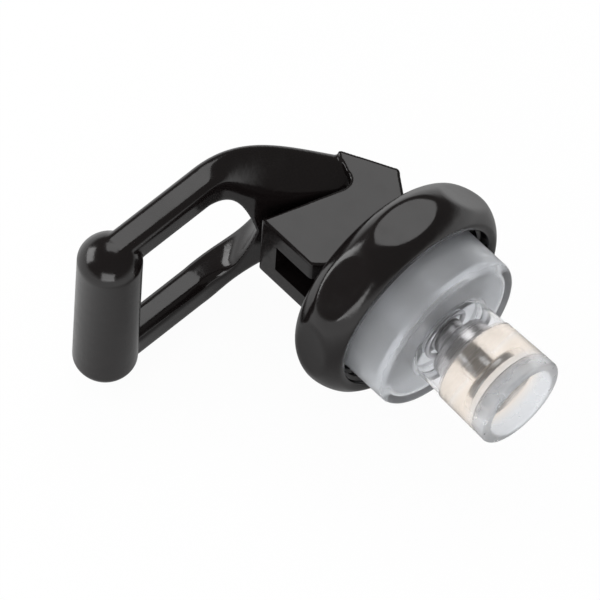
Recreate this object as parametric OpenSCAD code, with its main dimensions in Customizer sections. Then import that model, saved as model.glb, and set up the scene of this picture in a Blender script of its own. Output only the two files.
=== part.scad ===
// Upper assembly of a self-closing drinks tap: loop handle, bonnet nut, sprung stem and silicone seat cup.
// +X runs down the stem towards the seat cup, +Z runs along the handle pin.
// The origin is the centre of the bonnet's mouth.

/* [Bonnet] */
// Height of the bonnet from its mouth to its flat top
bonnet_h = 12.5; // [11.5:0.1:15]
// Radius of the round section of the bonnet's side
bulge_r = 7.2; // [6.9:0.05:7.6]
// Radius from the stem axis to the centre of that round section
bulge_ring_r = 15.6; // [15.4:0.1:17]
// Distance from the mouth to the widest place
bulge_out = 5.9; // [5.4:0.1:6.4]
// Radius of the bonnet's bore at its thread crests
thread_r = 17.6; // [17.5:0.05:17.9]
// Thickness of the bonnet's roof
roof_t = 2.5; // [2:0.1:3]
// Number of oval thumb dishes round the side
dish_count = 8; // [6:1:8]
// Depth of each dish
dish_depth = 1.2; // [0.6:0.05:1.4]
// Radius of the hollow in each dish
dish_ball_r = 200; // [60:5:300]
// Turn of the dishes against the handle, in degrees
dish_turn = -4; // [-20:1:20]

/* [Handle] */
// Distance from the pin to the cam's flat foot
cam_base = 7.4; // [7:0.1:9]
// Lift of the stem for each radian that the handle tilts
cam_lift = 5; // [4:0.1:5.5]
// Full tilt of the handle in degrees
tilt_max = 45; // [41:1:47]
// Width of the head across both ears
head_w = 17.3; // [16:0.1:20]
// Distance from the pin to the heel of the head, on the side of the crossbar
head_tip = 9.5; // [9:0.1:11]
// Distance from the pin to the end of the foot, away from the crossbar
foot_back = 8.7; // [8:0.1:9.5]
// Distance from the pin to the back corner of the ears
ear_back = 14.1; // [13:0.1:15]
// Distance from the pin to the top corner of the ears
ear_top = 10.9; // [10.4:0.1:11.5]
// Radius of the hollow between the ears' flat sides and the arms
scoop_r = 2.2; // [1.8:0.1:2.6]
// Distance from the pin to the back of the arms
arm_back = 21.3; // [20:0.1:24]
// Thickness of an arm seen from the side
arm_depth = 6.1; // [5:0.1:7]
// Width of an arm seen from the front
arm_w = 7.2; // [6:0.1:8]
// Distance between the outer sides of the two arms
loop_w = 41.6; // [38:0.2:48]
// Distance from the pin axis to the crossbar's axis, along the arms
reach = 42.3; // [38:0.1:50]
// Diameter of the crossbar
bar_d = 12.2; // [11:0.1:13]
// Length of the crossbar over its domed ends
bar_len = 42; // [40:0.2:50]
// Height of each dome on the crossbar's ends
dome_h = 4.4; // [2:0.1:5.5]
// Radius of the round edges of the arms
arm_edge_r = 1.9; // [0.8:0.1:2.4]

/* [Stem] */
// Radius of the stem where the bonnet guides it
stem_r = 3.5; // [3.2:0.05:3.8]
// Radius of the handle pin
pin_r = 2; // [1.6:0.05:2]
// Radius of the collar that the spring presses on
collar_r = 6.2; // [6:0.1:6.8]
// Length of the collar
collar_len = 4.6; // [3:0.1:5]
// Radius of the thin shank below the collar
shank_r = 2.4; // [2:0.1:2.8]
// Length of the shank
shank_len = 4.9; // [4:0.1:5.4]
// Radius of the mushroom flange
flange_r = 5.6; // [5:0.1:6]
// Thickness of the mushroom flange
flange_t = 1.5; // [1:0.1:1.8]

/* [Spring] */
// Diameter of the spring wire
wire_d = 1.1; // [0.9:0.05:1.2]
// Radius from the stem axis to the middle of the wire
coil_r = 4.9; // [4.7:0.05:5.2]
// Number of curls
curls = 8; // [6:1:9]
// Thickness of the thrust washer under the roof
washer_t = 1; // [0.8:0.1:1.2]
// Radius of the thrust washer
washer_r = 6.6; // [6.2:0.1:7.5]

/* [Seat cup] */
// Outer radius of the wide skirt
skirt_r = 16.7; // [16.4:0.05:16.8]
// Wall of the skirt
skirt_wall = 1.8; // [1.4:0.1:2.4]
// Distance from the bonnet's mouth to the skirt's floor
skirt_out = 8.4; // [7.5:0.1:10]
// Outer radius of the skirt's sealing bead under the roof
bead_r = 17.25; // [17:0.05:17.3]
// Radius of the round edge round the skirt's floor
skirt_edge_r = 1.6; // [1:0.1:1.7]
// Outer radius of the thin neck
neck_r = 8.9; // [8.6:0.1:9.1]
// Wall of the thin neck
neck_wall = 0.7; // [0.5:0.05:0.9]
// Length of the neck
neck_len = 6.8; // [6:0.1:8]
// Outer radius of the plug at its shoulder
plug_r = 9.2; // [9.2:0.1:9.4]
// Outer radius of the plug at its mouth
mouth_r = 9.6; // [9.5:0.1:9.8]
// Length of the plug
plug_len = 12.4; // [11.8:0.1:13]
// Depth of the recess in the plug's mouth
recess_depth = 4.3; // [4.2:0.1:4.5]
// Radius of the recess in the plug's mouth
recess_r = 7.4; // [7:0.1:7.9]

/* [Clearances] */
// Gap between the cam's foot and the bonnet's top
cam_gap = 0.1; // [0.05:0.01:0.2]
// Running clearance of the pin in the stem's eye, and of the stem in the roof
running = 0.07; // [0.02:0.01:0.1]
// Gap between the stem and each ear
ear_gap = 0.3; // [0.3:0.05:0.6]
// Gap round the stem's flange and shank in the silicone plug, and over the sealing bead
soft_gap = 0.05; // [0.03:0.01:0.1]

/* [Hidden] */
eps = 0.01;

bonnet_top = -bonnet_h;
roof_in = bonnet_top + roof_t;
bulge_x = -bulge_out;
pin_x = bonnet_top - cam_gap - cam_base;
slot_half = stem_r + ear_gap;
head_half = head_w / 2;
skirt_top = roof_in + soft_gap;
bead_t = 2;
neck_top = skirt_out;
plug_top = neck_top + neck_len;
mouth_x = plug_top + plug_len;
collar_top = plug_top - collar_len;
flange_x = plug_top + shank_len;
spring_top = roof_in + washer_t;
eye_r = stem_r + 0.9;
slot_roof = eye_r + 0.8;
blind_skin = 1.7;

// A solid turned round the stem axis, from a profile of [distance along X, radius] points
module turned(profile, fn = 96)
    rotate([0, 90, 0])
        rotate_extrude($fn = fn)
            polygon([for (p = profile) [p[1], p[0]]]);

// A rod along the stem axis between two places on it
module rod(x0, x1, r, fn = 96)
    translate([x0, 0, 0]) rotate([0, 90, 0]) cylinder(h = x1 - x0, r = r, $fn = fn);

// Points of an arc, as [x, y] about a centre
function arc(c, r, a0, a1, n) = [for (i = [0:n]) c + r * [cos(a0 + (a1 - a0) * i / n), sin(a0 + (a1 - a0) * i / n)]];

// ---- Bonnet ----
module dish(turn)
    rotate([turn, 0, 0])
        translate([bulge_x, bulge_ring_r + bulge_r - dish_depth + dish_ball_r, 0])
            sphere(r = dish_ball_r, $fn = 128);

module bonnet() {
    lip = 0.5;
    color([0.07, 0.07, 0.075])
        difference() {
            rotate([0, 90, 0])
                rotate_extrude($fn = 128)
                    difference() {
                        union() {
                            translate([bulge_ring_r, bulge_x]) circle(r = bulge_r, $fn = 96);
                            translate([0, bonnet_top]) square([bulge_ring_r, bonnet_h]);
                        }
                        square([bulge_ring_r + bulge_r + 1, bulge_r]);
                        translate([0, bonnet_top - bulge_r]) square([bulge_ring_r + bulge_r + 1, bulge_r]);
                        translate([0, roof_in]) square([thread_r, bonnet_h]);
                    }
            rod(bonnet_top - 1, roof_in + 1, stem_r + running);
            turned([[-lip, thread_r - eps], [eps, thread_r - eps], [eps, thread_r + lip]]);
            for (i = [0:dish_count - 1]) dish(dish_turn + i * 360 / dish_count);
        }
}

// ---- Spring and its washer ----
module spring_washer()
    color([0.75, 0.75, 0.77])
        difference() {
            rod(roof_in, spring_top, washer_r);
            rod(roof_in - 1, spring_top + 1, stem_r + ear_gap);
        }

// The wire's centre line: a short straight tail, the curls at a steady pitch, and a tail again
coil_x0 = spring_top + 1.5 * wire_d;
coil_x1 = collar_top - 1.5 * wire_d;
coil_steps = 8 * curls;
coil_pitch = (coil_x1 - coil_x0) / curls;
function coil_point(i) =
    [coil_x0 + (coil_x1 - coil_x0) * i / coil_steps, coil_r * cos(45 * i), coil_r * sin(45 * i)];
wire_path = concat([[spring_top, coil_r, 0], [spring_top + wire_d, coil_r, 0]],
                   [for (i = [1:coil_steps - 1]) coil_point(i)],
                   [[collar_top - wire_d, coil_r, 0], [collar_top, coil_r, 0]]);
function unit(v) = v / norm(v);
function way(p, i) = unit(p[min(i + 1, len(p) - 1)] - p[max(i - 1, 0)]);
// Side direction of the wire: always away from the stem axis
function out_of(p) = unit([0, p[1], p[2]]);
function ring(p, i, sides, r) =
    let (last = len(p) - 1, t = i == 0 || i == last ? [1, 0, 0] : way(p, i),
         o = out_of(p[i]), u = unit(o - (o * t) * t), w = cross(t, u))
    [for (k = [0:sides - 1]) p[i] + r * (cos(360 * k / sides) * u + sin(360 * k / sides) * w)];
module tube(path, r, sides) {
    n = len(path);
    points = [for (i = [0:n - 1]) each ring(path, i, sides, r)];
    polyhedron(points, concat(
        [for (i = [0:n - 2], k = [0:sides - 1], h = [0, 1])
            let (a = i * sides + k, b = i * sides + (k + 1) % sides)
            h == 0 ? [a, a + sides, b] : [b, a + sides, b + sides]],
        [for (k = [1:sides - 2]) [0, k, k + 1]],
        [for (k = [1:sides - 2]) [(n - 1) * sides, (n - 1) * sides + k + 1, (n - 1) * sides + k]]));
}
// Least gap of the wire to itself, over points at least most of a curl apart along the wire
coil_gap = min([for (i = [0:len(wire_path) - 1], j = [i + 6:1:len(wire_path) - 1])
    norm(wire_path[i] - wire_path[j])]) - wire_d;
echo(spring_least_gap_mm = coil_gap);

module spring()
    color([0.72, 0.73, 0.75]) tube(wire_path, wire_d / 2, 6);

// ---- Seat cup, moulded in one and shown as its fixed skirt, its flexing neck and its moving plug ----
module seat_cup_skirt() {
    inside_r = skirt_r - skirt_wall;
    color([0.86, 0.87, 0.89])
        turned(concat(
            [[skirt_top, inside_r], [skirt_top, bead_r], [skirt_top + bead_t, bead_r], [skirt_top + bead_t, skirt_r]],
            arc([skirt_out - skirt_edge_r, skirt_r - skirt_edge_r], skirt_edge_r, 90, 0, 8),
            [[skirt_out, neck_r - neck_wall], [skirt_out - skirt_wall, neck_r - neck_wall],
             [skirt_out - skirt_wall, inside_r]]));
}

module seat_cup_neck()
    color([0.9, 0.9, 0.92])
        difference() {
            rod(neck_top, plug_top, neck_r);
            rod(neck_top - 1, plug_top + 1, neck_r - neck_wall);
        }

module seat_cup_plug() {
    lip = 0.6;
    floor_x = mouth_x - recess_depth;
    pocket0 = flange_x - soft_gap;
    pocket1 = flange_x + flange_t + soft_gap;
    color([0.88, 0.87, 0.86])
        turned(concat(
            [[plug_top, shank_r + soft_gap], [plug_top, plug_r - lip]],
            arc([plug_top + lip, plug_r - lip], lip, 180, 90, 4),
            [[mouth_x - lip, mouth_r]],
            arc([mouth_x - lip, mouth_r - lip], lip, 80, 0, 4),
            arc([mouth_x - lip, recess_r + lip], lip, 0, -90, 4),
            [[floor_x, recess_r], [floor_x, 0], [pocket1, 0], [pocket1, flange_r + soft_gap],
             [pocket0, flange_r + soft_gap], [pocket0, shank_r + soft_gap]]));
}

// ---- Stem ----
module stem()
    color([0.76, 0.76, 0.78])
        difference() {
            union() {
                intersection() {
                    rod(pin_x - eye_r, collar_top + eps, stem_r);
                    union() {
                        translate([pin_x, 0, -stem_r]) cylinder(h = 2 * stem_r, r = eye_r, $fn = 96);
                        translate([pin_x, -stem_r, -stem_r]) cube([collar_top - pin_x + 1, 2 * stem_r, 2 * stem_r]);
                    }
                }
                turned([[collar_top, 0], [collar_top, collar_r - 0.5], [collar_top + 0.5, collar_r],
                        [plug_top - 0.8, collar_r], [plug_top, collar_r - 0.8], [plug_top, shank_r],
                        [flange_x, shank_r], [flange_x, flange_r - 0.3], [flange_x + 0.4, flange_r],
                        [flange_x + flange_t - 0.4, flange_r], [flange_x + flange_t, flange_r - 0.6],
                        [flange_x + flange_t, 0]]);
            }
            translate([pin_x, 0, -stem_r - 1]) cylinder(h = 2 * stem_r + 2, r = pin_r + running, $fn = 64);
        }

// ---- Handle ----
// Cam: the distance from the pin to the foot grows evenly with the tilt, so the curve is an involute
function cam_point(a) =
    let (h = cam_base + cam_lift * a * PI / 180)
    [h * cos(a) - cam_lift * sin(a), -h * sin(a) - cam_lift * cos(a)];
cam_end = tilt_max + 5;
heel_y = cam_point(cam_end)[1];
back_corner_r = 1;
top_corner_r = 0.9;
// Outline of an ear seen along the pin, with the pin at [0, 0]
ear_outline = concat(
    [[-head_tip, heel_y]],
    [for (i = [0:10]) cam_point(cam_end * (1 - i / 10))],
    [[cam_base, foot_back]],
    arc([-0.6, ear_back - back_corner_r], back_corner_r, 30, 110, 4),
    arc([top_corner_r - ear_top, 8.3], top_corner_r, 110, 180, 3),
    arc([-6.4, 4.3], scoop_r, 95, -20, 6));

// Point at t on the cubic curve of four points
function curve(p, t) =
    pow(1 - t, 3) * p[0] + 3 * pow(1 - t, 2) * t * p[1] + 3 * (1 - t) * t * t * p[2] + pow(t, 3) * p[3];
// The arm runs straight from the crossbar, then its edges curve down into the head
bend_y = -20;
front_x = -arm_back + arm_depth;
arm_front = [[front_x, bend_y], [front_x + 0.3, -13.5], [-13, -16], [-4.3, 5]];
arm_rear = [[-arm_back, bend_y], [-arm_back, -8], [-17, 0], [-10.4, 9.2]];
loop_half = loop_w / 2;
// Heights of the outer side, along the front edge and along the rear edge
outer_front = [loop_half, loop_half, head_half + 1.5, head_half - 2];
outer_rear = [loop_half, loop_half + 1, head_half + 5, head_half - 0.8];
// Each station is [front edge, rear edge, inner side, outer side at the front, outer side at the rear]
crotch_t = 0.62;
function station(t) = let (in_full = loop_half - arm_w, k = min(1, t / crotch_t))
    [curve(arm_front, t), curve(arm_rear, t), in_full * (1 - pow(k, 5)) - (arm_edge_r + 1) * k,
     curve(outer_front, t), curve(outer_rear, t)];
stations = concat(
    [for (i = [0:1]) let (shift = [0, (bend_y + reach) * (i / 2 - 1)])
        [arm_front[0] + shift, arm_rear[0] + shift, loop_half - arm_w, loop_half, loop_half]],
    [for (i = [0:26]) station(i / 26)]);
// Round section of one station, with the outer side sagging between its edges
function section(s) =
    let (w = norm(s[1] - s[0]), d = (s[1] - s[0]) / w,
         r = min(arm_edge_r, (min(s[3], s[4]) - s[2]) / 2 - 0.1),
         slope = atan2(s[4] - s[3], w - 2 * r),
         corners = [[r, s[3] - r, 180, 90 + slope], [w - r, s[4] - r, 90 + slope, 0],
                    [w - r, s[2] + r, 0, -90], [r, s[2] + r, -90, -180]])
    [for (c = corners, k = [0:4])
        let (a = c[2] + (c[3] - c[2]) * k / 4, u = c[0] + r * cos(a))
        [s[0][0] + d[0] * u, s[0][1] + d[1] * u, c[1] + r * sin(a)]];
module arm() {
    sections = [for (s = stations) section(s)];
    m = len(sections[0]);
    n = len(sections);
    polyhedron([for (s = sections) each s], concat(
        [for (i = [0:n - 2], k = [0:m - 1], h = [0, 1])
            let (a = i * m + k, b = i * m + (k + 1) % m)
            h == 0 ? [a, b, a + m] : [b, b + m, a + m]],
        [for (k = [1:m - 2]) [0, k + 1, k]],
        [for (k = [1:m - 2]) [(n - 1) * m, (n - 1) * m + k, (n - 1) * m + k + 1]]));
}

// Each arm is cut at the middle plane, where the two meet
module arms()
    for (side = [0, 1])
        mirror([0, 0, side])
            intersection() {
                arm();
                translate([-2 * arm_back, -2 * reach, 0]) cube([2 * arm_back, 3 * reach, loop_w]);
            }

module crossbar() {
    r = bar_d / 2;
    straight = bar_len / 2 - dome_h;
    ball_r = (r * r + dome_h * dome_h) / (2 * dome_h);
    dome = asin(r / ball_r);
    profile = concat([[0, -bar_len / 2]],
                     [for (i = [1:8]) [ball_r * sin(dome * i / 8), -bar_len / 2 + ball_r * (1 - cos(dome * i / 8))]],
                     [for (i = [8:-1:1]) [ball_r * sin(dome * i / 8), bar_len / 2 - ball_r * (1 - cos(dome * i / 8))]],
                     [[0, bar_len / 2]]);
    translate([-arm_back + arm_depth / 2, -reach, 0])
        rotate_extrude($fn = 96) polygon(profile);
}

module handle()
    color([0.06, 0.06, 0.065])
        translate([pin_x, 0, 0])
            difference() {
                union() {
                    translate([0, 0, -head_half]) linear_extrude(height = head_w) polygon(ear_outline);
                    arms();
                    crossbar();
                }
                translate([-slot_roof, heel_y - 5, -slot_half])
                    cube([slot_roof + cam_base + 5, eye_r + 0.6 - heel_y + 5, 2 * slot_half]);
                translate([0, 0, -head_half - 1])
                    cylinder(h = head_w + 1 - blind_skin, r = pin_r + eps, $fn = 64);
            }

module handle_pin()
    color([0.7, 0.7, 0.72])
        translate([pin_x, 0, -head_half + 0.2])
            cylinder(h = head_w - blind_skin - 0.4, r = pin_r, $fn = 64);

bonnet();
spring_washer();
spring();
seat_cup_skirt();
seat_cup_neck();
seat_cup_plug();
stem();
handle();
handle_pin();
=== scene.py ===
import math
import bpy
from mathutils import Matrix, Vector


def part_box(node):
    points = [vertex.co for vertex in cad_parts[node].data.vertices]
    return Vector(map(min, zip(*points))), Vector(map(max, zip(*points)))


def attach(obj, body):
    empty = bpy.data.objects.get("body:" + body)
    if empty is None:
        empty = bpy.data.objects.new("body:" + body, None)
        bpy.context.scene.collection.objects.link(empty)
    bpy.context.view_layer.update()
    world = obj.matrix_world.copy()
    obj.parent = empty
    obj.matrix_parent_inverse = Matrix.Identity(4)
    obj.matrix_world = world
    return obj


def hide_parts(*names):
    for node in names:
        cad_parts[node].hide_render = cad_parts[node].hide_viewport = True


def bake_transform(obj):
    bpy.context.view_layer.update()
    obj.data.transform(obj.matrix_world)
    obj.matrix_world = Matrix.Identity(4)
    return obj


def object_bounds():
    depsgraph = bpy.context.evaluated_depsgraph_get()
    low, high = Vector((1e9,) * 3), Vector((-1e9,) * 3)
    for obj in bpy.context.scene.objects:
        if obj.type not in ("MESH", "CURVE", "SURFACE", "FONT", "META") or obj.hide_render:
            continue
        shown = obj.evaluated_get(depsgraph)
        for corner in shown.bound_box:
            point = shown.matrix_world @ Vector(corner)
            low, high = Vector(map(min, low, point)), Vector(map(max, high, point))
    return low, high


MM = 0.001

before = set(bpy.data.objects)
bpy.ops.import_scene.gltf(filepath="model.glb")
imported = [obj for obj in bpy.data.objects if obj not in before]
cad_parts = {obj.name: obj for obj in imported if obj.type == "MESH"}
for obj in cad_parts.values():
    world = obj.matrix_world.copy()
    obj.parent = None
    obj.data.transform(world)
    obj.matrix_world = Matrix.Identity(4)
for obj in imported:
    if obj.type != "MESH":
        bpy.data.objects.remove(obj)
cad_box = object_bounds()


# ---------------------------------------------------------------- sizes, in millimetres
# The stem's axis is X: the bonnet's mouth lies at x = 0, the seat cup in front, the handle behind.
X, Y, Z = 0, 1, 2
LOW = {name: [round(c / MM, 2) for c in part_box(name)[0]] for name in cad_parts}
HIGH = {name: [round(c / MM, 2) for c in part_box(name)[1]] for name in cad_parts}

# bonnet: the bulging side is one arc round a ring
BONNET_H = -LOW["bonnet"][X]
BULGE_R, BULGE_RING, BULGE_OUT = 7.2, 15.6, 5.9
BACK_R, RIM_R = 17.9, 19.3
STEM_HOLE_R = 3.57
DISHES, DISH_DEPTH, DISH_BALL, DISH_TURN = 8, 1.2, 200.0, -4.0
DISH_EDGE, DISH_FROM = 0.45, 18.45
THREAD_R, THREAD_ROOT, THREAD_PITCH, THREAD_TURNS = 17.6, 18.25, 2.0, 4
THREAD_IN, THREAD_SUNK, MOUTH_BEVEL = 1.0, 0.15, 0.3

# pivot pin: a blind bore in one ear holds it
PIN_R = 2.0
PIN_X = HIGH["handle_pin"][X] - PIN_R
PIN_LOW, PIN_HIGH = LOW["handle_pin"][Z], HIGH["handle_pin"][Z]
PIN_FIT, EYE_FIT, BORE_WALL = 0.01, 0.07, 1.7

# handle, from the pin: the cam foot, the ears, the arms and the crossbar
CAM_BASE, CAM_LIFT, CAM_END = HIGH["handle"][X] - PIN_X, 5.0, 50.0
HEAD_HALF, HEAD_TIP = 8.65, 9.5
FOOT_BACK, EAR_BACK, EAR_TOP = 8.7, HIGH["handle"][Y], 10.9
BACK_CORNER_R, TOP_CORNER_R, SCOOP_R = 1.0, 0.9, 2.2
ARM_BACK, ARM_DEPTH, ARM_W, ARM_EDGE = 21.3, 6.1, 7.2, 1.9
LOOP_HALF, BEND_Y, CROTCH = 20.8, -20.0, 0.62
BAR_R, BAR_HALF, DOME_H = 6.1, HIGH["handle"][Z], 4.4
REACH = -LOW["handle"][Y] - BAR_R
SLOT_GAP, EYE_GAP, SLOT_BACK = 0.3, 0.8, 0.6
VOXEL = 0.28

# each edge of an arm is a curve through four points, from the bend to the ear
FRONT_X = -ARM_BACK + ARM_DEPTH
ARM_FRONT = [(FRONT_X, BEND_Y), (FRONT_X + 0.3, -13.5), (-13.0, -16.0), (-4.3, 5.0)]
ARM_REAR = [(-ARM_BACK, BEND_Y), (-ARM_BACK, -8.0), (-17.0, 0.0), (-10.4, 9.2)]
OUTER_FRONT = [LOOP_HALF, LOOP_HALF, HEAD_HALF + 1.5, HEAD_HALF - 2]
OUTER_REAR = [LOOP_HALF, LOOP_HALF + 1, HEAD_HALF + 5, HEAD_HALF - 0.8]

# washer, spring and stem
ROOF_IN, SPRING_TOP = LOW["spring_washer"][X], HIGH["spring_washer"][X]
WASHER_R, WASHER_HOLE = -LOW["spring_washer"][Z], 3.8
WIRE_D, CURLS = 1.1, 8
COIL_R = HIGH["spring"][Y] - WIRE_D / 2
STEM_R, EYE_R, SHANK_R = 3.5, 4.4, 2.4
COLLAR_R, COLLAR_TOP = -LOW["stem"][Z], HIGH["spring"][X]
FLANGE_R, FLANGE_T, FLANGE_END = 5.6, 1.5, HIGH["stem"][X]
FLANGE_X = FLANGE_END - FLANGE_T

# seat cup: skirt, thin neck and plug are one moulding
SKIRT_TOP, SKIRT_OUT = LOW["seat_cup_skirt"][X], HIGH["seat_cup_skirt"][X]
BEAD_R, SKIRT_R, SKIRT_WALL = HIGH["seat_cup_skirt"][Y], 16.7, 1.8
BEAD_H, BEAD_SLOPE = 2.0, 0.6
NECK_R, NECK_WALL = -LOW["seat_cup_neck"][Z], 0.7
PLUG_TOP, MOUTH_X = LOW["seat_cup_plug"][X], HIGH["seat_cup_plug"][X]
PLUG_R, MOUTH_R = 9.2, -LOW["seat_cup_plug"][Z]
RECESS_R, RECESS_X = 7.4, 23.3
CUP_FIT = 0.05

# camera, lamps and floor
CAMERA_TURN, CAMERA_TILT, CAMERA_ROLL = 43.31, 58.65, 4.12
CAMERA_ACROSS, CAMERA_ABOVE, CAMERA_AWAY = -21.67, 1.46, 3000
CAMERA_LENS, CAMERA_SENSOR, CAMERA_SIGHT = 980.5, 36, 20000
LAMPS_AIM = (-8, -12, 0)
FLOOR_SIZE, FLOOR_GAP = 6000, 0.1

MERGE = 0.002
CUT_PAST = 5


# ---------------------------------------------------------------- working helpers
def clear_selection():
    if bpy.context.object and bpy.context.object.mode != "OBJECT":
        bpy.ops.object.mode_set(mode="OBJECT")
    bpy.ops.object.select_all(action="DESELECT")


def pick(obj):
    clear_selection()
    obj.select_set(True)
    bpy.context.view_layer.objects.active = obj


def edit_all(obj):
    """Opens the object's mesh with all of it selected."""
    pick(obj)
    bpy.ops.object.mode_set(mode="EDIT")
    bpy.ops.mesh.select_all(action="SELECT")


def leave_edit():
    bpy.ops.object.mode_set(mode="OBJECT")


def settle(obj):
    """Puts the object's place into its mesh."""
    pick(obj)
    bpy.ops.object.transform_apply(location=True, rotation=True, scale=True)


def modify(obj, kind, **settings):
    """Adds one modifier and applies it."""
    pick(obj)
    mod = obj.modifiers.new(kind, kind)
    for key, value in settings.items():
        setattr(mod, key, value)
    bpy.ops.object.modifier_apply(modifier=mod.name)


def tidy_mesh(obj):
    edit_all(obj)
    bpy.ops.mesh.remove_doubles(threshold=MERGE * MM)
    bpy.ops.mesh.normals_make_consistent(inside=False)
    leave_edit()


def smooth(obj, angle=40):
    pick(obj)
    bpy.ops.object.shade_smooth_by_angle(angle=math.radians(angle))


def arc(centre, radius, start, end, steps):
    """Points on an arc between two angles in degrees."""
    angles = [math.radians(start + (end - start) * k / steps) for k in range(steps + 1)]
    return [(centre[0] + radius * math.cos(a), centre[1] + radius * math.sin(a)) for a in angles]


def rounded(points, steps=6):
    """Points of a profile as (along, out, fillet); each corner with a fillet becomes an arc."""
    line = []
    for i, point in enumerate(points):
        here = Vector(point[:2])
        radius = point[2] if len(point) > 2 else 0
        if not radius or i in (0, len(points) - 1):
            line.append(here)
            continue
        back = (Vector(points[i - 1][:2]) - here).normalized()
        on = (Vector(points[i + 1][:2]) - here).normalized()
        half = back.angle(on) / 2
        reach = radius / math.tan(half)
        middle = here + (back + on).normalized() * radius / math.sin(half)
        start, end = here + back * reach - middle, here + on * reach - middle
        first = math.atan2(start.y, start.x)
        turn = (math.atan2(end.y, end.x) - first + math.pi) % (2 * math.pi) - math.pi
        for k in range(steps + 1):
            a = first + turn * k / steps
            line.append(middle + radius * Vector((math.cos(a), math.sin(a))))
    return line


def draw_line(name, points):
    """One vertex, extruded from point to point."""
    clear_selection()
    bpy.ops.mesh.primitive_plane_add(size=MM, location=(0, 0, 0))
    obj = bpy.context.object
    obj.name = name
    bpy.ops.object.mode_set(mode="EDIT")
    bpy.ops.mesh.merge(type="CENTER")
    bpy.ops.transform.translate(value=Vector(points[0]) * MM)
    for last, point in zip(points, points[1:]):
        step = (Vector(point) - Vector(last)) * MM
        bpy.ops.mesh.extrude_region_move(TRANSFORM_OT_translate={"value": step})
    leave_edit()
    return obj


def spin_line(name, points, steps, centre, axis, angle=40):
    """A line spun once round an axis."""
    obj = draw_line(name, points)
    edit_all(obj)
    bpy.ops.mesh.spin(steps=steps, angle=2 * math.pi, center=Vector(centre) * MM, axis=axis)
    leave_edit()
    tidy_mesh(obj)
    smooth(obj, angle)
    return obj


def lathe(name, profile, steps=128, angle=40):
    """A profile of (along X, radius, fillet) spun round the stem's axis."""
    points = [(p.x, p.y, 0) for p in rounded(profile)]
    return spin_line(name, points, steps, (0, 0, 0), (1, 0, 0), angle)


def lathe_upright(name, profile, centre, steps=96):
    """A profile of (along Z, radius, fillet) spun round an upright line through centre."""
    x, y = centre
    points = [(x + p.y, y, p.x) for p in rounded(profile)]
    return spin_line(name, points, steps, (x, y, 0), (0, 0, 1))


def fill_outline(obj):
    edit_all(obj)
    bpy.ops.mesh.edge_face_add()
    leave_edit()


def plate(name, outline, low, high):
    """A flat outline, filled and extruded along Z from low to high."""
    obj = draw_line(name, [(x, y, low) for x, y in outline])
    fill_outline(obj)
    edit_all(obj)
    bpy.ops.mesh.extrude_region_move(TRANSFORM_OT_translate={"value": (0, 0, (high - low) * MM)})
    leave_edit()
    tidy_mesh(obj)
    return obj


def join(target, *others):
    clear_selection()
    for obj in others:
        obj.select_set(True)
    target.select_set(True)
    bpy.context.view_layer.objects.active = target
    bpy.ops.object.join()
    return target


def combine(obj, operation, tool):
    """A boolean of the object with a tool solid, which is used up."""
    modify(obj, "BOOLEAN", operation=operation, solver="EXACT", object=tool)
    bpy.data.objects.remove(tool)


def block(low, high):
    """A box between two corners."""
    clear_selection()
    middle = [(a + b) / 2 * MM for a, b in zip(low, high)]
    bpy.ops.mesh.primitive_cube_add(size=1, location=middle)
    obj = bpy.context.object
    obj.scale = [(b - a) * MM for a, b in zip(low, high)]
    settle(obj)
    return obj


def upright_rod(centre, low, high, radius, sides=64):
    clear_selection()
    bpy.ops.mesh.primitive_cylinder_add(
        vertices=sides, radius=radius * MM, depth=(high - low) * MM,
        location=(centre[0] * MM, centre[1] * MM, (low + high) / 2 * MM))
    obj = bpy.context.object
    settle(obj)
    return obj


# ---------------------------------------------------------------- materials
def new_material(name):
    mat = bpy.data.materials.new(name)
    mat.use_nodes = True
    nodes = mat.node_tree.nodes
    shader = nodes["Principled BSDF"]
    coords = nodes.new("ShaderNodeTexCoord")
    return mat, nodes, mat.node_tree.links, shader, coords.outputs["Object"]


def add_noise(nodes, links, place, scale, detail):
    node = nodes.new("ShaderNodeTexNoise")
    node.inputs["Scale"].default_value = scale
    node.inputs["Detail"].default_value = detail
    links.new(place, node.inputs["Vector"])
    return node.outputs["Fac"]


def spread(nodes, links, value, low, high, start=0.0, end=1.0):
    """Carries a value from start..end to low..high."""
    node = nodes.new("ShaderNodeMapRange")
    node.inputs["From Min"].default_value = start
    node.inputs["From Max"].default_value = end
    node.inputs["To Min"].default_value = low
    node.inputs["To Max"].default_value = high
    links.new(value, node.inputs["Value"])
    return node.outputs["Result"]


def reckon(nodes, links, operation, one, other):
    """One sum of two values; each is a socket or a plain number."""
    node = nodes.new("ShaderNodeMath")
    node.operation = operation
    for socket, value in zip(node.inputs, (one, other)):
        if isinstance(value, (int, float)):
            socket.default_value = value
        else:
            links.new(value, socket)
    return node.outputs[0]


def mix_tones(nodes, links, share, one, other, blend_type="MIX"):
    """Mixes two colours; each is a socket or plain red, green and blue."""
    node = nodes.new("ShaderNodeMixRGB")
    node.blend_type = blend_type
    for socket, value in zip(node.inputs, (share, one, other)):
        if isinstance(value, (int, float)):
            socket.default_value = value
        elif isinstance(value, tuple):
            socket.default_value = (*value, 1)
        else:
            links.new(value, socket)
    return node.outputs["Color"]


def add_bump(nodes, links, height, strength, distance, below=None):
    node = nodes.new("ShaderNodeBump")
    node.inputs["Strength"].default_value = strength
    node.inputs["Distance"].default_value = distance
    links.new(height, node.inputs["Height"])
    if below:
        links.new(below, node.inputs["Normal"])
    return node.outputs["Normal"]


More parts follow.
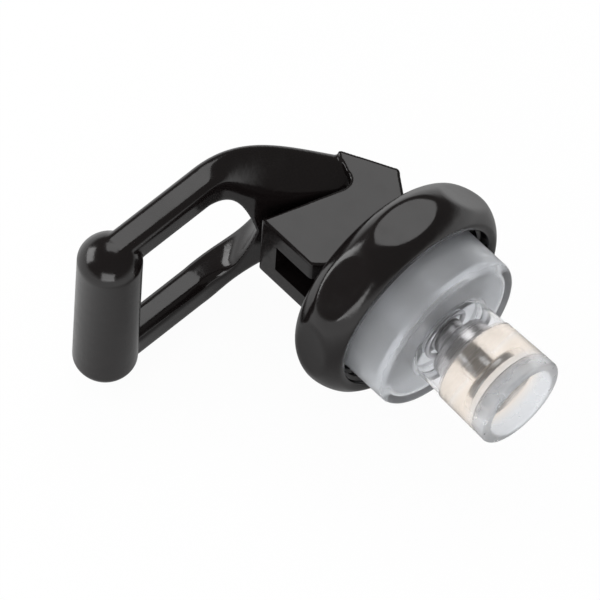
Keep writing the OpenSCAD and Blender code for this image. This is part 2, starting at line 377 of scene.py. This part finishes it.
def along_axis(nodes, links, place, stops):
    """A value or a colour that changes along the stem's axis; stops are (x, value)."""
    split = nodes.new("ShaderNodeSeparateXYZ")
    links.new(place, split.inputs[0])
    first, last = stops[0][0], stops[-1][0]
    scale = spread(nodes, links, split.outputs["X"], 0.0, 1.0, first * MM, last * MM)
    ramp = nodes.new("ShaderNodeValToRGB")
    links.new(scale, ramp.inputs["Fac"])
    band = ramp.color_ramp
    while len(band.elements) < len(stops):
        band.elements.new(0.5)
    for element, (x, value) in zip(band.elements, stops):
        element.position = (x - first) / (last - first)
        element.color = (*value, 1) if isinstance(value, tuple) else (value, value, value, 1)
    return ramp.outputs["Color"]


def make_gloss_plastic():
    """Injection-moulded black plastic: deep gloss, faint flow marks and a slight orange peel."""
    mat, nodes, links, shader, place = new_material("gloss_black_plastic")
    tone = mix_tones(nodes, links, add_noise(nodes, links, place, 90, 4),
                     (0.005, 0.004, 0.004), (0.008, 0.006, 0.006))
    links.new(tone, shader.inputs["Base Color"])
    flow = add_noise(nodes, links, place, 260, 3)
    links.new(spread(nodes, links, flow, 0.10, 0.22, 0.3, 0.7), shader.inputs["Roughness"])
    wide = add_bump(nodes, links, add_noise(nodes, links, place, 420, 2), 0.2, 0.0002)
    fine = add_bump(nodes, links, add_noise(nodes, links, place, 2400, 3), 0.05, 0.00005, wide)
    links.new(fine, shader.inputs["Normal"])
    shader.inputs["IOR"].default_value = 1.5
    return mat


def make_silicone():
    """Milky silicone rubber: hazy in the skirt, clear in the thin neck, warm in the thick plug."""
    mat, nodes, links, shader, place = new_material("milky_silicone")
    cool, clear, warm = (0.90, 0.92, 0.95), (0.97, 0.97, 0.98), (0.99, 0.90, 0.81)
    tint = along_axis(nodes, links, place, [
        (ROOF_IN, cool), (SKIRT_OUT - 0.4, cool), (SKIRT_OUT + 1.1, clear),
        (PLUG_TOP - 0.4, clear), (PLUG_TOP + 0.8, warm), (RECESS_X - 1.3, warm),
        (RECESS_X + 1.7, cool), (MOUTH_X + 0.4, cool)])
    links.new(tint, shader.inputs["Base Color"])
    clearness = along_axis(nodes, links, place, [
        (ROOF_IN, 0.8), (SKIRT_OUT - 1.4, 0.8), (SKIRT_OUT + 0.9, 0.96),
        (PLUG_TOP - 0.6, 0.96), (PLUG_TOP + 0.2, 0.9), (RECESS_X - 0.3, 0.9),
        (RECESS_X + 3.2, 0.8), (MOUTH_X + 0.4, 0.7)])
    links.new(clearness, shader.inputs["Transmission Weight"])
    haze = along_axis(nodes, links, place, [
        (ROOF_IN, 0.34), (SKIRT_OUT - 1.4, 0.34), (SKIRT_OUT + 0.9, 0.06),
        (PLUG_TOP - 0.6, 0.06), (PLUG_TOP + 0.2, 0.2), (RECESS_X - 0.3, 0.2),
        (RECESS_X + 2.7, 0.3), (MOUTH_X + 0.4, 0.3)])
    cloud = add_noise(nodes, links, place, 300, 2)
    uneven = spread(nodes, links, cloud, 0.85, 1.15, 0.3, 0.7)
    links.new(reckon(nodes, links, "MULTIPLY", haze, uneven), shader.inputs["Roughness"])
    links.new(add_bump(nodes, links, cloud, 0.04, 0.0001), shader.inputs["Normal"])
    shader.inputs["IOR"].default_value = 1.3
    return mat


def make_steel(name, colour, shaded_in_cup, rough_low, rough_high, rings):
    """Turned stainless steel: fine rings round the stem's axis, and painted shade on the end inside
    the seat cup.
    """
    mat, nodes, links, shader, place = new_material(name)
    stretch = nodes.new("ShaderNodeMapping")
    stretch.inputs["Scale"].default_value = rings
    links.new(place, stretch.inputs["Vector"])
    lines = add_noise(nodes, links, stretch.outputs["Vector"], 1.0, 4)
    tone = mix_tones(nodes, links, lines, (0.85, 0.85, 0.85), (1, 1, 1))
    # painted shade: the end that sits in the silicone is painted darker and bluer, for the shade of
    # the milky silicone round it
    shade = along_axis(nodes, links, place, [
        (COLLAR_TOP - 0.6, colour), (PLUG_TOP - 0.7, colour),
        (PLUG_TOP + 0.3, shaded_in_cup), (FLANGE_END + 0.4, shaded_in_cup)])
    both = mix_tones(nodes, links, 1.0, tone, shade, "MULTIPLY")
    links.new(both, shader.inputs["Base Color"])
    links.new(spread(nodes, links, lines, rough_low, rough_high), shader.inputs["Roughness"])
    links.new(add_bump(nodes, links, lines, 0.1, 0.00005), shader.inputs["Normal"])
    shader.inputs["Metallic"].default_value = 1.0
    return mat


def dress(obj, mat):
    obj.data.materials.clear()
    obj.data.materials.append(mat)


# ---------------------------------------------------------------- bonnet
def soft_least(a, b, blend):
    """The smaller of two distances, with a rounded edge where they meet."""
    h = min(1.0, max(0.0, 0.5 + 0.5 * (b - a) / blend))
    return b + (a - b) * h - blend * h * (1 - h)


def press_dishes(obj):
    """Presses the oval thumb dishes into the bulging side."""
    pitch = 360 / DISHES
    bottom = BULGE_RING + BULGE_R - DISH_DEPTH + DISH_BALL
    for vertex in obj.data.vertices:
        x, y, z = (c / MM for c in vertex.co)
        out = math.hypot(y, z)
        if out < DISH_FROM or not -BONNET_H < x < 0:
            continue
        turn = math.degrees(math.atan2(z, y)) - DISH_TURN
        off = math.radians((turn + pitch / 2) % pitch - pitch / 2)
        side = out * math.sin(off)
        floor = bottom - math.sqrt(DISH_BALL ** 2 - (x + BULGE_OUT) ** 2 - side ** 2)
        new = soft_least(out, floor / math.cos(off), DISH_EDGE)
        if new < out:
            vertex.co.y *= new / out
            vertex.co.z *= new / out


def make_bonnet(plastic):
    """Turned to its profile, then the thumb dishes are pressed in."""
    back = 90 - math.degrees(math.asin((BULGE_OUT - BONNET_H) / BULGE_R))
    front = 90 - math.degrees(math.asin(BULGE_OUT / BULGE_R))
    profile = [
        (ROOF_IN, STEM_HOLE_R), (-BONNET_H, STEM_HOLE_R, 0.3), (-BONNET_H, BACK_R),
        *arc((-BULGE_OUT, BULGE_RING), BULGE_R, back, front, 48),
        (0, RIM_R), (0, THREAD_ROOT + MOUTH_BEVEL), (-MOUTH_BEVEL, THREAD_ROOT),
        (ROOF_IN, THREAD_ROOT, 0.4), (ROOF_IN, STEM_HOLE_R)]
    bonnet = lathe("bonnet_shell", profile, steps=512, angle=50)
    press_dishes(bonnet)
    dress(bonnet, plastic)
    return bonnet


def make_thread(plastic):
    """One ridge of the thread, wound along the bore."""
    x0 = -THREAD_IN - THREAD_PITCH * THREAD_TURNS
    root = THREAD_ROOT + THREAD_SUNK
    foot, crest = 0.375 * THREAD_PITCH, 0.1 * THREAD_PITCH
    obj = draw_line("bonnet_thread", [(x0 - foot, root, 0), (x0 - crest, THREAD_R, 0),
                                      (x0 + crest, THREAD_R, 0), (x0 + foot, root, 0)])
    fill_outline(obj)
    modify(obj, "SCREW", axis="X", angle=2 * math.pi, screw_offset=THREAD_PITCH * MM,
           iterations=THREAD_TURNS, steps=128, render_steps=128, use_normal_calculate=True)
    tidy_mesh(obj)
    smooth(obj, 30)
    dress(obj, plastic)
    return obj


# ---------------------------------------------------------------- handle
def curve_at(points, t):
    """A place on the curve through four points, which are numbers or pairs."""
    a, b, c, d = (1 - t) ** 3, 3 * (1 - t) ** 2 * t, 3 * (1 - t) * t * t, t ** 3
    if isinstance(points[0], tuple):
        return [a * p + b * q + c * r + d * s for p, q, r, s in zip(*points)]
    return a * points[0] + b * points[1] + c * points[2] + d * points[3]


def cam_point(degrees):
    """The foot's involute, so that the lift grows evenly with the tilt."""
    a = math.radians(degrees)
    height = CAM_BASE + CAM_LIFT * a
    return (height * math.cos(a) - CAM_LIFT * math.sin(a),
            -height * math.sin(a) - CAM_LIFT * math.cos(a))


def ear_outline():
    """From the heel along the cam foot, up the back, over the top and down the scoop."""
    return ([(-HEAD_TIP, cam_point(CAM_END)[1])]
            + [cam_point(CAM_END * (1 - k / 24)) for k in range(25)]
            + [(CAM_BASE, FOOT_BACK)]
            + arc((-0.6, EAR_BACK - BACK_CORNER_R), BACK_CORNER_R, 30, 110, 8)
            + arc((TOP_CORNER_R - EAR_TOP, 8.3), TOP_CORNER_R, 110, 180, 6)
            + arc((-6.4, 4.3), SCOOP_R, 95, -20, 12))


def arm_station(t):
    """Front edge, rear edge, inner side, outer side at the front and at the rear.

    From -1 to 0 the arm is straight, from the crossbar to the bend; from 0 to 1 it curves
    into the ear, and past the crotch it runs inside the head.
    """
    if t < 0:
        y = BEND_Y + (BEND_Y + REACH) * t
        return (FRONT_X, y), (-ARM_BACK, y), LOOP_HALF - ARM_W, LOOP_HALF, LOOP_HALF
    k = min(1, t / CROTCH)
    inner = (LOOP_HALF - ARM_W) * (1 - k ** 5) - (ARM_EDGE + 1) * k
    return (curve_at(ARM_FRONT, t), curve_at(ARM_REAR, t), inner,
            curve_at(OUTER_FRONT, t), curve_at(OUTER_REAR, t))


def arm_section(t, corner_steps=8):
    """One ring round the arm: four sides with rounded corners."""
    front, rear, inner, outer_front, outer_rear = arm_station(t)
    front, rear = Vector(front), Vector(rear)
    width = (rear - front).length
    along = (rear - front) / width
    r = min(ARM_EDGE, (min(outer_front, outer_rear) - inner) / 2 - 0.1)
    slope = math.degrees(math.atan2(outer_rear - outer_front, width - 2 * r))
    corners = [(r, outer_front - r, 180, 90 + slope), (width - r, outer_rear - r, 90 + slope, 0),
               (width - r, inner + r, 0, -90), (r, inner + r, -90, -180)]
    ring = []
    for across, up, start, end in corners:
        for u, v in arc((across, up), r, start, end, corner_steps):
            spot = front + along * u
            ring.append((spot.x, spot.y, v))
    return ring


def make_arm(name, straight=8, bent=48, start=-0.95):
    """Rings laid along the arm and bridged, closed at both ends."""
    stations = [start - start * k / straight for k in range(straight)]
    stations += [k / bent for k in range(bent + 1)]
    rings = [arm_section(t) for t in stations]
    sides = len(rings[0])
    clear_selection()
    bpy.ops.mesh.primitive_circle_add(vertices=sides, radius=MM)
    obj = bpy.context.object
    obj.name = name
    edit_all(obj)
    for _ in rings[1:]:
        bpy.ops.mesh.extrude_edges_move(TRANSFORM_OT_translate={"value": (0, 0, MM)})
    leave_edit()
    for index, vertex in enumerate(obj.data.vertices):
        x, y, z = rings[index // sides][index % sides]
        vertex.co = ((x + PIN_X) * MM, y * MM, z * MM)
    edit_all(obj)
    bpy.ops.mesh.fill_holes(sides=0)
    leave_edit()
    tidy_mesh(obj)
    return obj


def mirror_copy(obj):
    """The same piece on the other side of the middle plane, with a mesh of its own."""
    other = obj.copy()
    other.data = obj.data.copy()
    bpy.context.collection.objects.link(other)
    other.scale.z = -1
    settle(other)
    tidy_mesh(other)
    return other


def make_crossbar():
    """A round bar with a shallow dome at each end."""
    ball = (BAR_R ** 2 + DOME_H ** 2) / (2 * DOME_H)
    dome = math.degrees(math.asin(BAR_R / ball))
    top = arc((BAR_HALF - ball, 0), ball, 0, dome, 12)
    profile = [(-z, r) for z, r in top] + top[::-1]
    return lathe_upright("crossbar", profile, (PIN_X - ARM_BACK + ARM_DEPTH / 2, -REACH))


def make_handle(plastic):
    """Ears, arms and crossbar melted into one moulding; then the slot and the bore are cut."""
    outline = [(x + PIN_X, y) for x, y in ear_outline()]
    ears = plate("loop_handle", outline, -HEAD_HALF, HEAD_HALF)
    arm = make_arm("arm")
    handle = join(ears, arm, mirror_copy(arm), make_crossbar())
    modify(handle, "REMESH", mode="VOXEL", voxel_size=VOXEL * MM, adaptivity=0.0)
    modify(handle, "SMOOTH", factor=0.5, iterations=8)
    slot_half = STEM_R + SLOT_GAP
    roof, heel = EYE_R + EYE_GAP, cam_point(CAM_END)[1]
    combine(handle, "DIFFERENCE", block(
        (PIN_X - roof, heel - CUT_PAST, -slot_half),
        (PIN_X + CAM_BASE + CUT_PAST, EYE_R + SLOT_BACK, slot_half)))
    combine(handle, "DIFFERENCE", upright_rod(
        (PIN_X, 0), -HEAD_HALF - 1, HEAD_HALF - BORE_WALL, PIN_R + PIN_FIT))
    smooth(handle, 30)
    dress(handle, plastic)
    return handle


# ---------------------------------------------------------------- seat cup
def make_seat_cup(silicone):
    """One moulding: its hollow holds the spring, and the stem's flange sits inside the plug."""
    inside = SKIRT_R - SKIRT_WALL
    bore = NECK_R - NECK_WALL
    flange_low, flange_high = FLANGE_X - CUP_FIT, FLANGE_END + CUP_FIT
    profile = [
        (flange_high, 0), (flange_high, FLANGE_R + CUP_FIT),
        (flange_low, FLANGE_R + CUP_FIT), (flange_low, SHANK_R + CUP_FIT),
        (PLUG_TOP, SHANK_R + CUP_FIT), (PLUG_TOP, bore, 0.3),
        (SKIRT_OUT - SKIRT_WALL, bore, 0.5), (SKIRT_OUT - SKIRT_WALL, inside, 1.2),
        (SKIRT_TOP, inside, 0.3), (SKIRT_TOP, BEAD_R, 0.5),
        (SKIRT_TOP + BEAD_H, BEAD_R, 0.5), (SKIRT_TOP + BEAD_H + BEAD_SLOPE, SKIRT_R, 0.4),
        (SKIRT_OUT, SKIRT_R, 1.6), (SKIRT_OUT, NECK_R, 0.8),
        (PLUG_TOP - 0.35, NECK_R, 0.3), (PLUG_TOP - 0.05, PLUG_R, 0.15),
        (PLUG_TOP + 0.6, PLUG_R + 0.02, 0.2), (MOUTH_X, MOUTH_R, 0.7),
        (MOUTH_X, RECESS_R, 0.7), (RECESS_X, RECESS_R, 0.5), (RECESS_X, 0)]
    cup = lathe("seat_cup", profile)
    dress(cup, silicone)
    return cup


# ---------------------------------------------------------------- stem, pin, spring and washer
def make_stem(steel):
    """Turned rod whose rear end is rounded about the pin and bored for it."""
    profile = [
        (PIN_X - EYE_R, 0), (PIN_X - EYE_R, STEM_R),
        (COLLAR_TOP, STEM_R), (COLLAR_TOP, COLLAR_R, 0.5),
        (PLUG_TOP, COLLAR_R, 0.7), (PLUG_TOP, SHANK_R),
        (FLANGE_X, SHANK_R), (FLANGE_X, FLANGE_R, 0.4),
        (FLANGE_END, FLANGE_R, 0.5), (FLANGE_END, 0)]
    stem = lathe("stem_rod", profile, steps=96)
    keep = upright_rod((PIN_X, 0), -1.1 * STEM_R, 1.1 * STEM_R, EYE_R, sides=96)
    wide = 2 * COLLAR_R
    combine(keep, "UNION", block((PIN_X, -wide, -wide), (MOUTH_X, wide, wide)))
    combine(stem, "INTERSECT", keep)
    combine(stem, "DIFFERENCE", upright_rod((PIN_X, 0), -STEM_R - 1, STEM_R + 1, PIN_R + EYE_FIT))
    smooth(stem)
    dress(stem, steel)
    return stem


def make_pin(steel):
    profile = [(PIN_LOW, 0), (PIN_LOW, PIN_R, 0.3), (PIN_HIGH, PIN_R, 0.3), (PIN_HIGH, 0)]
    pin = lathe_upright("pivot_pin", profile, (PIN_X, 0), steps=64)
    dress(pin, steel)
    return pin


def make_spring(wire, curl_steps=32):
    """A wire on its own path, thickened into a tube; its ends run straight to washer and collar."""
    x0, x1 = SPRING_TOP + 1.5 * WIRE_D, COLLAR_TOP - 1.5 * WIRE_D
    steps = curl_steps * CURLS
    points = [(SPRING_TOP + 0.01, COIL_R, 0)]
    for k in range(steps + 1):
        a = 2 * math.pi * CURLS * k / steps
        points.append((x0 + (x1 - x0) * k / steps, COIL_R * math.cos(a), COIL_R * math.sin(a)))
    points.append((COLLAR_TOP - 0.01, COIL_R, 0))
    curve = bpy.data.curves.new("return_spring", "CURVE")
    curve.dimensions = "3D"
    curve.bevel_depth = WIRE_D / 2 * MM
    curve.bevel_resolution = 4
    curve.use_fill_caps = True
    spline = curve.splines.new("POLY")
    spline.points.add(len(points) - 1)
    for spot, point in zip(spline.points, points):
        spot.co = (*[c * MM for c in point], 1)
    obj = bpy.data.objects.new("return_spring", curve)
    bpy.context.collection.objects.link(obj)
    pick(obj)
    bpy.ops.object.convert(target="MESH")
    obj = bpy.context.object
    tidy_mesh(obj)
    smooth(obj)
    dress(obj, wire)
    return obj


def make_washer(steel):
    profile = [(ROOF_IN, WASHER_HOLE), (ROOF_IN, WASHER_R, 0.2), (SPRING_TOP, WASHER_R, 0.2),
               (SPRING_TOP, WASHER_HOLE, 0.2), (ROOF_IN, WASHER_HOLE)]
    washer = lathe("thrust_washer", profile, steps=64)
    dress(washer, steel)
    return washer


# ---------------------------------------------------------------- camera, floor and light
def make_camera():
    """A long lens far away, turned, tilted and rolled about the bonnet's mouth."""
    data = bpy.data.cameras.new("camera")
    camera = bpy.data.objects.new("camera", data)
    bpy.context.collection.objects.link(camera)
    azimuth, elevation, roll = (math.radians(d) for d in (CAMERA_TURN, CAMERA_TILT, CAMERA_ROLL))
    right = Vector((math.cos(azimuth), math.sin(azimuth), 0))
    level = Vector((math.sin(azimuth), -math.cos(azimuth), 0))
    straight_up = Vector((0, 0, 1))
    up = straight_up * math.cos(elevation) - level * math.sin(elevation)
    back = straight_up * math.sin(elevation) + level * math.cos(elevation)
    across = right * math.cos(roll) + up * math.sin(roll)
    above = up * math.cos(roll) - right * math.sin(roll)
    place = (across * CAMERA_ACROSS + above * CAMERA_ABOVE + back * CAMERA_AWAY) * MM
    camera.matrix_world = Matrix((
        (across.x, above.x, back.x, place.x), (across.y, above.y, back.y, place.y),
        (across.z, above.z, back.z, place.z), (0, 0, 0, 1)))
    data.lens = CAMERA_LENS
    data.sensor_width = CAMERA_SENSOR
    data.clip_end = CAMERA_SIGHT * MM
    bpy.context.scene.camera = camera


def add_lamp(name, direction, distance, size, power):
    """A soft box that faces the object from a direction; metres and watts."""
    data = bpy.data.lights.new(name, "AREA")
    data.shape = "RECTANGLE"
    data.size, data.size_y = size
    data.energy = power
    lamp = bpy.data.objects.new(name, data)
    bpy.context.collection.objects.link(lamp)
    aim = Vector(direction).normalized()
    lamp.location = Vector(LAMPS_AIM) * MM + aim * distance
    lamp.rotation_euler = aim.to_track_quat("Z", "Y").to_euler()


def seen_directly(nodes, links):
    """1 for rays from the camera, from a mirror-like surface or through clear matter."""
    rays = nodes.new("ShaderNodeLightPath").outputs
    total = rays["Is Camera Ray"]
    for name in ("Is Glossy Ray", "Is Transmission Ray"):
        total = reckon(nodes, links, "MAXIMUM", total, rays[name])
    return total, rays


def make_floor(lowest):
    """White to the eye, but matt to the light, so that it keeps the object's shadow; to mirror-like
    surfaces it shows a painted shadow round the object.
    """
    clear_selection()
    bpy.ops.mesh.primitive_plane_add(size=FLOOR_SIZE * MM, location=(0, 0, lowest))
    floor = bpy.context.object
    floor.name = "floor"
    mat = bpy.data.materials.new("white_floor")
    mat.use_nodes = True
    nodes, links = mat.node_tree.nodes, mat.node_tree.links
    nodes.clear()
    matt = nodes.new("ShaderNodeBsdfDiffuse")
    matt.inputs["Color"].default_value = (0.9, 0.9, 0.9, 1)
    glow = nodes.new("ShaderNodeEmission")
    mix = nodes.new("ShaderNodeMixShader")
    out = nodes.new("ShaderNodeOutputMaterial")
    direct, rays = seen_directly(nodes, links)
    links.new(reckon(nodes, links, "MULTIPLY", direct, 0.96), mix.inputs["Fac"])
    # painted shadow: a mirror-like surface sees the floor painted dim under the object and white
    # further out
    coords = nodes.new("ShaderNodeTexCoord")
    away = nodes.new("ShaderNodeVectorMath")
    away.operation = "LENGTH"
    links.new(coords.outputs["Object"], away.inputs[0])
    reflected_floor_shadow = spread(nodes, links, away.outputs["Value"], 0.3, 1.0, 0.04, 0.12)
    mirrored = reckon(nodes, links, "MULTIPLY", rays["Is Glossy Ray"], rays["Is Reflection Ray"])
    links.new(mix_tones(nodes, links, mirrored, (1, 1, 1), reflected_floor_shadow), glow.inputs["Color"])
    links.new(matt.outputs[0], mix.inputs[1])
    links.new(glow.outputs[0], mix.inputs[2])
    links.new(mix.outputs[0], out.inputs["Surface"])
    floor.data.materials.append(mat)


def make_world():
    """White to the eye, softer to the light, and a dim ceiling to a mirror-like surface."""
    world = bpy.data.worlds.new("studio")
    bpy.context.scene.world = world
    world.use_nodes = True
    nodes, links = world.node_tree.nodes, world.node_tree.links
    nodes.clear()
    out = nodes.new("ShaderNodeOutputWorld")
    soft = nodes.new("ShaderNodeBackground")
    soft.inputs["Strength"].default_value = 0.85
    white = nodes.new("ShaderNodeBackground")
    mix = nodes.new("ShaderNodeMixShader")
    direct, rays = seen_directly(nodes, links)
    coords = nodes.new("ShaderNodeTexCoord")
    split = nodes.new("ShaderNodeSeparateXYZ")
    links.new(coords.outputs["Generated"], split.inputs[0])
    ramp = nodes.new("ShaderNodeValToRGB")
    links.new(split.outputs["Z"], ramp.inputs["Fac"])
    horizon, zenith = ramp.color_ramp.elements
    horizon.position, horizon.color = 0.02, (1, 1, 1, 1)
    zenith.position, zenith.color = 0.22, (0.15, 0.145, 0.14, 1)
    ceiling = mix_tones(nodes, links, rays["Is Glossy Ray"], (1, 1, 1), ramp.outputs["Color"])
    links.new(ceiling, white.inputs["Color"])
    links.new(direct, mix.inputs["Fac"])
    links.new(soft.outputs[0], mix.inputs[1])
    links.new(white.outputs[0], mix.inputs[2])
    links.new(mix.outputs[0], out.inputs["Surface"])


# ---------------------------------------------------------------- putting it together
bpy.context.scene.view_settings.view_transform = "Standard"
make_camera()

plastic = make_gloss_plastic()
silicone = make_silicone()
# the bluish grey is painted shade on the stem's end inside the seat cup
steel = make_steel("turned_steel", (0.58, 0.57, 0.57), (0.24, 0.30, 0.38),
                   0.18, 0.34, (4000, 60, 60))
wire = make_steel("spring_wire", (0.50, 0.50, 0.52), (0.50, 0.50, 0.52),
                  0.25, 0.4, (300, 300, 300))
looks = {"bonnet": plastic, "handle": plastic, "spring": wire, "seat_cup_skirt": silicone,
         "seat_cup_neck": silicone, "seat_cup_plug": silicone}
for name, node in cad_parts.items():
    dress(node, looks.get(name, steel))

bonnet = make_bonnet(plastic)
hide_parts("bonnet")
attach(bonnet, "bonnet_body")
thread = make_thread(plastic)
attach(thread, "bonnet_body")

handle = make_handle(plastic)
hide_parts("handle")
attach(handle, "handle_body")

cup = make_seat_cup(silicone)
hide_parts("seat_cup_skirt", "seat_cup_neck", "seat_cup_plug")
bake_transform(cup)

spring = make_spring(wire)
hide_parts("spring")
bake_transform(spring)

stem = make_stem(steel)
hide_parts("stem")
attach(stem, "stem_body")
pin = make_pin(steel)
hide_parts("handle_pin")
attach(pin, "handle_body")
washer = make_washer(steel)
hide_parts("spring_washer")
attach(washer, "swivel")

make_floor(cad_box[0][Z] - FLOOR_GAP * MM)
make_world()
add_lamp("overhead_softbox", (-0.36, 0.38, 0.85), 0.6, (0.35, 0.35), 0.8)
add_lamp("left_softbox", (-0.9, -0.5, 0.45), 0.7, (0.5, 0.3), 2.0)
add_lamp("right_softbox", (0.6, -0.75, 0.3), 0.7, (0.5, 0.3), 1.5)
